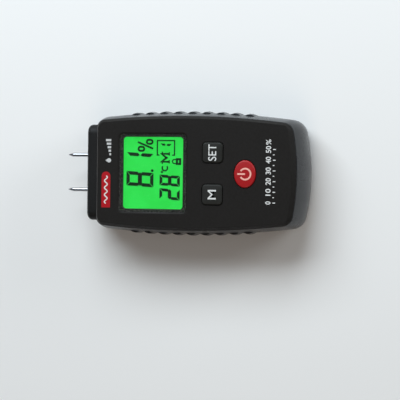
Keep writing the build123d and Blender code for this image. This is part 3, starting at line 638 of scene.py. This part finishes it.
def make_key(node, outline, finish, slot):
    """A rubber key: round column, retaining flange, straight sides, rounded edge and a faint crown."""
    center, half = middle(node), (high(node) - low(node)) / 2
    bottom, top, flange_top = low(node).z, high(node).z, face_z - flange_below_face
    flange_bottom = flange_top - flange_thickness

    def ring(points, height):
        return [(center.x + x, center.y + y, height) for x, y in points]

    outline_at = partial(outline, half.x - key_flange, half.y - key_flange)
    column, flange = rounded_outline(column_radius, column_radius, column_radius), outline_at(-key_flange)
    rings = [ring(column, bottom), ring(column, flange_bottom), ring(flange, flange_bottom),
             ring(flange, flange_top), ring(outline_at(0.0), flange_top)]
    for i in range(edge_steps + 1):
        angle = radians(90.0 * i / edge_steps)
        height = top - key_crown - key_edge * (1 - sin(angle))
        rings.append(ring(outline_at(key_edge * (1 - cos(angle))), height))
    for share in (0.55, 0.75, 0.9, 0.97):
        inner = [(x * (1 - share), y * (1 - share)) for x, y in outline_at(key_edge)]
        rings.append(ring(inner, top - key_crown * (1 - share) ** 2))
    settle(stack_rings(node + "_cap", rings, finish, 50.0), node, slot, node)


def legend_on(node):
    """A legend sunk a little in a key's top."""
    center = middle(node)
    return Print((center.x, center.y), high(node).z - legend_sunk, legend_thickness)


def make_keys():
    """The set, mode and power keys with their printed legends."""
    for node in ("set_key", "mode_key"):
        make_key(node, square_key, key_rubber, "key_rubber")
    make_key("power_key", oval_key, power_rubber, "power_rubber")
    for node, words, width, height in (("set_key", "SET", 8.3, 4.2), ("mode_key", "M", 4.8, 4.3)):
        legend = legend_on(node)
        legend.text(words, (0.0, 0.0), width, height, 0.004)
        legend.piece(node + "_legend", legend_ink, "legend_ink", node)
    symbol = legend_on("power_key")
    symbol.stroke(arc_points((0.0, -0.3), 2.75, 123, 417, 40), 0.85)
    symbol.stroke([(0.0, -0.2), (0.0, 3.75)], 0.85)
    symbol.piece("power_key_symbol", power_ink, "legend_ink", "power_key")


# ---- printing on the cover

def cover_printing():
    """Badge with a ripple, and a droplet with level bars, printed on the cover."""
    badge_place, ink_thickness, half_height = (-8.8, 39.3), 0.03, 2.35
    badge = Print(badge_place, face_z, ink_thickness)
    badge.slab([(-9.25, -half_height), (6.9, -half_height)] + arc_points((6.9, 0), half_height, -90, 90, 14)
               + [(-9.25, half_height)])
    badge.piece("badge", badge_red, "badge_red")
    ripple = Print(badge_place, face_z + ink_thickness, 0.02)
    ripple.stroke([(-7.2 + 0.25 * i, 0.75 * sin(radians(25 * i))) for i in range(58)], 0.6)
    ripple.piece("badge_ripple", legend_ink, "legend_ink")
    level = Print((11.1, 38.1), face_z, ink_thickness)
    level.slab([(-4.9, 1.55)] + arc_points((-4.9, -0.35), 1.1, 150, 390, 18))
    for i in range(5):
        left, tall = -2.3 + 1.8 * i, 0.9 + 0.48 * i
        level.slab([(left, -1.4), (left + 1.1, -1.4), (left + 1.1, -1.4 + tall), (left, -1.4 + tall)])
    level.piece("level_mark", grey_ink, "legend_ink")


# ---- pieces that repeat, by Geometry Nodes

def set_inputs(modifier, values):
    """Fills a modifier's inputs by their sockets' identifiers."""
    inputs = {item.name: item.identifier for item in modifier.node_group.interface.items_tree
              if item.item_type == "SOCKET" and item.in_out == "INPUT"}
    for label, value in values.items():
        modifier[inputs[label]] = value


def grown_piece(name, tree, values, seed_points=((0.0, 0.0, 0.0),)):
    """Runs a tree on loose points, in millimetres, and returns the result as a plain mesh piece."""
    base = bpy.data.meshes.new(name + "_points")
    base.from_pydata([Vector(point) * MM for point in seed_points], [], [])
    holder = new_object(name, base)
    modifier = holder.modifiers.new("grow", "NODES")
    modifier.node_group = tree
    set_inputs(modifier, values)
    mesh = evaluated_mesh(holder)
    bpy.data.meshes.remove(base)
    mesh.name = name
    return new_object(name, mesh)


def new_grower(name, *inputs):
    """A tree that takes loose points, its own named inputs and a material, and gives a mesh."""
    every_input = [("Geometry", GEOMETRY, None), *inputs, ("Material", "NodeSocketMaterial", None)]
    return new_group(name, "GeometryNodeTree", every_input, [("Geometry", GEOMETRY)])


def grow(tree, kind, **links):
    """Adds one geometry node: fill_caps fills Fill Caps. Returns its first output."""
    return add(tree, "GeometryNode" + kind, titled(links)).outputs[0]


def grow_output(tree, geometry, given, out):
    """Ends a tree: instances made real, one material."""
    real = grow(tree, "RealizeInstances", geometry=geometry)
    feed(out, geometry=grow(tree, "SetMaterial", geometry=real, material=given["Material"]))
    return tree


def position_parts(tree):
    """The three coordinates of each point, for use in a field."""
    return add(tree, "ShaderNodeSeparateXYZ", {0: grow(tree, "InputPosition")}).outputs


def turned_by(angles):
    """A rotation from a vector of angles."""
    return add(angles.id_data, "FunctionNodeEulerToRotation", {0: angles}).outputs[0]


def rib_row_tree():
    """Grip ribs: upright bars with a bowed section and rounded ends, in a row along the arc of a side."""
    tree, given, out = new_grower(
        "grip ribs", ("Count", INTEGER, 9), ("Pitch", FLOAT, 0.0075), ("Middle", FLOAT, 0.0),
        ("Side", FLOAT, 1.0), ("Side Radius", FLOAT, 0.4), ("Half Width", FLOAT, 0.0314),
        ("Widest", FLOAT, 0.0), ("Width", FLOAT, 0.005), ("Height", FLOAT, 0.00085), ("Sunk", FLOAT, 0.0015),
        ("Bottom", FLOAT, 0.0062), ("Top", FLOAT, 0.0188), ("End Round", FLOAT, 0.0003),
        ("Fullest", FLOAT, 0.01162), ("Hollow", FLOAT, 10.75))
    # the upright run of one rib, drawn in towards both of its ends
    upright = grow(tree, "CurvePrimitiveLine", start=(0, 0, -1), end=(0, 0, 1))
    run = grow(tree, "ResampleCurve", curve=upright, count=25)
    along = position_parts(tree)["Z"]
    reach = math("ABSOLUTE", along)
    turn = ramp(reach, 0.5, 1.0, 0.0, pi / 2)
    half_run = times(minus(given["Top"], given["Bottom"]), 0.5)
    center = times(plus(given["Top"], given["Bottom"]), 0.5)
    flat_run = minus(half_run, given["End Round"])
    straight = times(ramp(reach, 0.0, 0.5), flat_run)
    lift = math("MULTIPLY_ADD", math("SINE", turn), given["End Round"], straight)
    height = math("MULTIPLY_ADD", lift, math("SIGN", along), center)
    above_fullest = minus(height, given["Fullest"])
    lean = times(math("POWER", above_fullest, 2.0), times(given["Hollow"], -1.0))
    full = plus(given["Height"], given["Sunk"])
    drawn_in = times(minus(1.0, math("COSINE", turn)), math("DIVIDE", given["End Round"], full))
    radius = minus(1.0, drawn_in)
    run = grow(tree, "SetCurveRadius", curve=run, radius=radius)
    run = grow(tree, "SetPosition", geometry=run, position=xyz(Y=lean, Z=height))
    # its section: bowed outwards above the wall's surface, rounded where it is sunk in the wall
    circle = grow(tree, "CurvePrimitiveCircle", resolution=36, radius=1.0)
    part = position_parts(tree)
    above, below = math("MAXIMUM", part["Y"], 0.0), math("MINIMUM", part["Y"], 0.0)
    bow = times(math("POWER", above, 2.0), given["Height"])
    depth = math("MULTIPLY_ADD", below, given["Sunk"], plus(bow, given["Sunk"]))
    across = times(times(part["X"], given["Width"]), 0.5)
    section = grow(tree, "SetPosition", geometry=circle, position=xyz(X=across, Y=depth))
    rib = grow(tree, "CurveToMesh", curve=run, profile_curve=section, fill_caps=True, scale=radius)
    # the row along the side, each rib square to the side's arc
    start = math("MULTIPLY_ADD", minus(given["Count"], 1.0), times(given["Pitch"], -0.5), given["Middle"])
    row = grow(tree, "MeshLine", count=given["Count"], start_location=xyz(Y=start),
               offset=xyz(Y=given["Pitch"]))
    from_widest = minus(position_parts(tree)["Y"], given["Widest"])
    slope = math("ARCSINE", math("DIVIDE", from_widest, given["Side Radius"]))
    drop = times(minus(1.0, math("COSINE", slope)), given["Side Radius"])
    out_x = minus(minus(given["Half Width"], drop), given["Sunk"])
    place = xyz(X=times(out_x, given["Side"]), Y=plus(from_widest, given["Widest"]))
    row = grow(tree, "SetPosition", geometry=row, position=place)
    facing = times(minus(slope, pi / 2), given["Side"])
    ribs = grow(tree, "InstanceOnPoints", points=row, instance=rib, rotation=turned_by(xyz(Z=facing)))
    return grow_output(tree, ribs, given, out)


def cone_spring_tree():
    """A battery spring: a wire coil that narrows from its plate, with its end coils closed up."""
    tree, given, out = new_grower(
        "cone spring", ("Turns", FLOAT, 4.5), ("Wide Radius", FLOAT, 0.0036),
        ("Narrow Radius", FLOAT, 0.0023), ("Length", FLOAT, 0.005), ("Wire", FLOAT, 0.0004),
        ("Start", VECTOR, (0, 0, 0)), ("Turn", VECTOR, (0, 0, 0)))
    coil = grow(tree, "CurveSpiral", resolution=28, rotations=given["Turns"], height=given["Length"],
                start_radius=given["Wide Radius"], end_radius=given["Narrow Radius"])
    part = position_parts(tree)
    share = math("DIVIDE", part["Z"], given["Length"])
    eased = add(tree, "ShaderNodeMapRange", {"Value": share}, interpolation_type="SMOOTHSTEP").outputs[0]
    closed = math("MULTIPLY_ADD", eased, 0.6, times(share, 0.4))
    lifted = xyz(X=part["X"], Y=part["Y"], Z=times(closed, given["Length"]))
    coil = grow(tree, "SetPosition", geometry=coil, position=lifted)
    wire = grow(tree, "CurvePrimitiveCircle", resolution=12, radius=given["Wire"])
    solid = grow(tree, "CurveToMesh", curve=coil, profile_curve=wire, fill_caps=True)
    turned = turned_by(given["Turn"])
    placed = grow(tree, "Transform", geometry=solid, translation=given["Start"], rotation=turned)
    return grow_output(tree, placed, given, out)


def tick_row_tree():
    """A printed scale: a row of ticks from one edge, every few of them longer."""
    tree, given, out = new_grower(
        "scale ticks", ("Count", INTEGER, 11), ("Start", VECTOR, (0, 0, 0)), ("Pitch", FLOAT, 0.001),
        ("Width", FLOAT, 0.00045), ("Short", FLOAT, 0.0008), ("Long", FLOAT, 0.0014), ("Every", FLOAT, 2.0),
        ("Thickness", FLOAT, 0.00003))
    row = grow(tree, "MeshLine", count=given["Count"], start_location=given["Start"],
               offset=xyz(X=given["Pitch"]))
    bar = grow(tree, "Transform", geometry=grow(tree, "MeshCube", size=(1, 1, 1)), translation=(0, -0.5, 0.5))
    within = math("MODULO", grow(tree, "InputIndex"), given["Every"])
    extra = minus(given["Long"], given["Short"])
    length = math("MULTIPLY_ADD", math("LESS_THAN", within, 0.5), extra, given["Short"])
    size = xyz(X=given["Width"], Y=length, Z=given["Thickness"])
    ticks = grow(tree, "InstanceOnPoints", points=row, instance=bar, scale=size)
    return grow_output(tree, ticks, given, out)


def set_on_points_tree():
    """Sets one model on each point, each turned about its own axis by a fixed random angle."""
    tree, given, out = new_grower(
        "set on points", ("Model", "NodeSocketObject", None), ("Seed", INTEGER, 3), ("Spin", FLOAT, pi))
    model = add(tree, "GeometryNodeObjectInfo", {"Object": given["Model"]}).outputs["Geometry"]
    chance = add(tree, "FunctionNodeRandomValue", {"Min": 0.0, "Seed": given["Seed"]}, data_type="FLOAT")
    angle = times(chance.outputs["Value"], given["Spin"])
    row = grow(tree, "MeshToPoints", mesh=given["Geometry"])
    placed = grow(tree, "InstanceOnPoints", points=row, instance=model, rotation=turned_by(xyz(Z=angle)))
    return grow_output(tree, placed, given, out)


def make_ribs():
    """Nine grip ribs down each side of the housing."""
    tree, nose_y, middle_from_nose = rib_row_tree(), high("rear_housing").y, 49.4
    half_width = high("rear_housing").x - cad_rib_height
    for name, side in (("grip_ribs_right", 1.0), ("grip_ribs_left", -1.0)):
        piece = grown_piece(name, tree, {
            "Side": side, "Side Radius": side_radius * MM, "Half Width": half_width * MM,
            "Middle": (nose_y - middle_from_nose) * MM, "Widest": (nose_y - widest_from_nose) * MM,
            "Material": housing_plastic})
        piece.data.shade_smooth()
        piece.data.set_sharp_from_angle(angle=radians(50))
        settle(piece, "case", "housing_plastic")


def make_springs():
    """The three battery springs, each from its plate to its cell."""
    tree, wire, axis_z = cone_spring_tree(), 0.35, 7.7
    for node in ("battery_spring_1", "battery_spring_2", "battery_spring_3"):
        from_tail = node != "battery_spring_2"
        start_y = low(node).y + wire if from_tail else high(node).y - wire
        piece = grown_piece(node + "_coil", tree, {
            "Wire": wire * MM, "Length": (high(node).y - low(node).y - 2 * wire) * MM,
            "Start": Vector((middle(node).x, start_y, axis_z)) * MM,
            "Turn": (-pi / 2 if from_tail else pi / 2, 0.0, 0.0), "Material": spring_steel})
        piece.data.shade_smooth()
        settle(piece, "case", "spring_steel", node)


def screw_model(head_radius, head, shank_radius, length):
    """A cross-head screw standing on its head's outer face, with its point up."""
    arm, half, depth, pitch = head_radius * 0.52, head_radius * 0.12, head * 0.5, 0.9
    root_radius, rim_radius = shank_radius * 0.8, head_radius * 0.7
    rim = rounded_outline(rim_radius, rim_radius, rim_radius, 5)
    cross = [(half, half), (half, arm), (-half, arm), (-half, half), (-arm, half), (-arm, -half),
             (-half, -half), (-half, -arm), (half, -arm), (half, -half), (arm, -half), (arm, half)]
    levels = [(0.0, 0.7), (0.06, 0.86), (0.16, 0.95), (0.32, 1.0), (1.0, 1.0)]
    rings = [(head * share, head_radius * width) for share, width in levels]
    rings.append((head, shank_radius))
    # each turn of the thread has its root and its crest, then the point
    for i in range(int(length / pitch) - 1):
        base = head + 0.4 + pitch * i
        rings += [(base, root_radius), (base + 0.3, root_radius), (base + 0.5, shank_radius),
                  (base + 0.62, shank_radius)]
    rings += [(head + length - 0.5, root_radius), (head + length, shank_radius * 0.35)]
    count = len(rim)
    points = []
    for height, radius in rings:
        points += [(x * radius / rim_radius, y * radius / rim_radius, height) for x, y in rim]
    faces = wall_faces(count, len(rings))
    faces.append(tuple(range(len(points) - count, len(points))))
    # the outer face round the cross, the cross's walls and its floor
    face_start = len(points)
    points += [(x, y, 0.0) for x, y in cross] + [(x * 0.8, y * 0.8, depth) for x, y in cross]
    flat = [Vector((x, y, 0.0)) for x, y in rim], [Vector((x, y, 0.0)) for x, y in cross]
    numbers = list(range(count)) + list(range(face_start, face_start + len(cross)))
    for triangle in tessellate_polygon(flat):
        corners = [flat[0][i] if i < count else flat[1][i - count] for i in triangle]
        turn = (corners[1] - corners[0]).cross(corners[2] - corners[0]).z
        order = triangle if turn < 0 else tuple(reversed(triangle))
        faces.append(tuple(numbers[i] for i in order))
    for i in range(len(cross)):
        j = (i + 1) % len(cross)
        top, deep = face_start, face_start + len(cross)
        faces.append((top + i, top + j, deep + j, deep + i))
    faces.append(tuple(face_start + len(cross) + i for i in reversed(range(len(cross)))))
    return new_piece("screw_model", points, faces, screw_steel, 30.0)


def case_screw_places(head_radius):
    """Where the screws' heads rest, from the CAD screws themselves."""
    box_low, box_high = low("case_screws"), high("case_screws")
    places = []
    for y in (box_high.y - head_radius, box_low.y + head_radius):
        near = [abs(v.co.x) / MM for v in nodes["case_screws"].data.vertices if abs(v.co.y / MM - y) < 2.0]
        x = (min(near) + max(near)) / 2
        places += [(x, y, box_low.z), (-x, y, box_low.z)]
    return places


def make_case_screws():
    """Four case screws, sunk in the back."""
    head_radius = 2.2
    model = screw_model(head_radius, head=1.8, shank_radius=1.2, length=19.5)
    values = {"Model": model, "Material": screw_steel}
    places = case_screw_places(head_radius)
    piece = grown_piece("case_screws_crosshead", set_on_points_tree(), values, places)
    bpy.data.objects.remove(model)
    settle(piece, "case", "screw_steel", "case_screws")


def scale_printing():
    """A generic moisture scale, 0 to 50 in tens, over a row of ticks."""
    center_y, start_x, ten = -46.9, -14.3, 5.35
    ticks = grown_piece("scale_ticks", tick_row_tree(), {
        "Count": 11, "Start": Vector((start_x, center_y - 1.1, face_z)) * MM, "Pitch": ten / 2 * MM,
        "Material": legend_ink})
    settle(ticks, "case", "legend_ink")
    figures = Print((start_x, center_y), face_z, 0.03)
    for tens in range(6):
        words = str(10 * tens)
        figures.text(words, (tens * ten, 1.2), 1.6 if tens == 0 else 3.5, 2.7, 0.018)
    figures.text("%", (5 * ten + 3.7, 1.2), 2.7, 2.7, 0.01)
    figures.piece("scale_figures", legend_ink, "legend_ink")


# ---- camera, lights and floor

def set_camera():
    """Looks down on the display face from a little towards the tail, with the probes to the left."""
    lean_to_tail, lean_to_right, roll = radians(14.0), radians(1.0), radians(1.0)
    distance, aim = 700.0, Vector((-13.4, -10.74, face_z))
    back = Vector((sin(lean_to_right), -sin(lean_to_tail), cos(lean_to_tail))).normalized()
    right = Vector((0, -1, 0))
    right = (right - back * right.dot(back)).normalized()
    turn = Matrix((right, back.cross(right), back)).transposed() @ Matrix.Rotation(roll, 3, "Z")
    camera = new_object("camera", bpy.data.cameras.new("camera"))
    camera.matrix_world = Matrix.Translation((aim + back * distance) * MM) @ turn.to_4x4()
    camera.data.lens = 124.46
    camera.data.clip_start, camera.data.clip_end = 0.01, 20.0
    bpy.context.scene.camera = camera


def soft_light(name, place, size, power, color):
    """A large soft box aimed at the meter; places and sizes in metres."""
    light = bpy.data.lights.new(name, "AREA")
    light.shape = "RECTANGLE"
    light.size, light.size_y = size
    light.energy, light.color = power, color
    holder = new_object(name, light)
    holder.visible_camera = False
    holder.location = place
    holder.rotation_euler = (Vector(place) - Vector((0.0, 0.0, 0.015))).to_track_quat("Z", "Y").to_euler()


def set_studio():
    """Soft boxes, an even surround and a pale floor just under the meter."""
    soft_light("side box", (0.83, 0.25, 0.80), (1.2, 0.6), 19.0, (0.84, 0.93, 1.0))
    soft_light("tail box", (0.45, -0.8, 0.30), (0.4, 0.3), 3.0, (0.92, 0.97, 1.0))
    soft_light("far box", (-0.7, -0.1, 0.9), (0.5, 0.8), 1.7, (1.0, 0.78, 0.58))
    soft_light("under box", (0.0, 0.75, -0.6), (0.6, 0.6), 6.0, (1.0, 1.0, 1.0))
    world = bpy.data.worlds.new("surround")
    bpy.context.scene.world = world
    world.use_nodes = True
    background = world.node_tree.nodes["Background"].inputs
    background["Color"].default_value = (0.5, 0.52, 0.55, 1.0)
    background["Strength"].default_value = 0.3
    set_floor()
    bpy.context.scene.view_settings.view_transform = "Standard"


def set_floor():
    """A pale floor just under the meter, seen only from above and open where the meter covers it."""
    reach, height = 3.0, -0.5 * MM
    back_low, back_high = low("rear_housing"), high("rear_housing")
    widest_y = back_high.y - widest_from_nose
    side_inset = 4.6  # of the opening, from the side walls to just inside the edge of the back
    tail_y = back_low.y + 6.4
    right = [(0.0, tail_y), (12.0, tail_y + 1.2), (19.0, tail_y + 3.6)]
    start_y, end_y, steps = tail_y + 8.0, back_high.y - 4.2, 16
    for i in range(steps + 1):
        y = start_y + (end_y - start_y) * i / steps
        right.append((back_high.x - cad_rib_height - (y - widest_y) ** 2 / (2 * side_radius) - side_inset, y))
    inner = [(x * MM, y * MM) for x, y in right + [(-x, y) for x, y in reversed(right[1:])]]
    outer = [tuple(Vector(point).normalized() * reach) for point in inner]
    count = len(inner)
    mesh = bpy.data.meshes.new("floor")
    sides = [(i, (i + 1) % count, count + (i + 1) % count, count + i) for i in range(count)]
    mesh.from_pydata([(x, y, height) for x, y in outer + inner], [], sides)
    material, tree, _ = new_material("floor", (0.80, 0.79, 0.77), 0.7)
    clear = add(tree, "ShaderNodeBsdfTransparent").outputs[0]
    behind = add(tree, "ShaderNodeNewGeometry").outputs["Backfacing"]
    shader = tree.nodes["Principled BSDF"].outputs[0]
    shading = add(tree, "ShaderNodeLightPath").outputs["Is Shadow Ray"]
    open_share = math("MAXIMUM", behind, shading)  # lets the light from below reach the meter's back
    seen = add(tree, "ShaderNodeMixShader", {0: open_share, 1: shader, 2: clear}).outputs[0]
    tree.links.new(seen, tree.nodes["Material Output"].inputs["Surface"])
    mesh.materials.append(material)
    new_object("floor", mesh)


display_reading()
make_keys()
cover_printing()
scale_printing()
make_ribs()
make_springs()
make_case_screws()
set_camera()
set_studio()
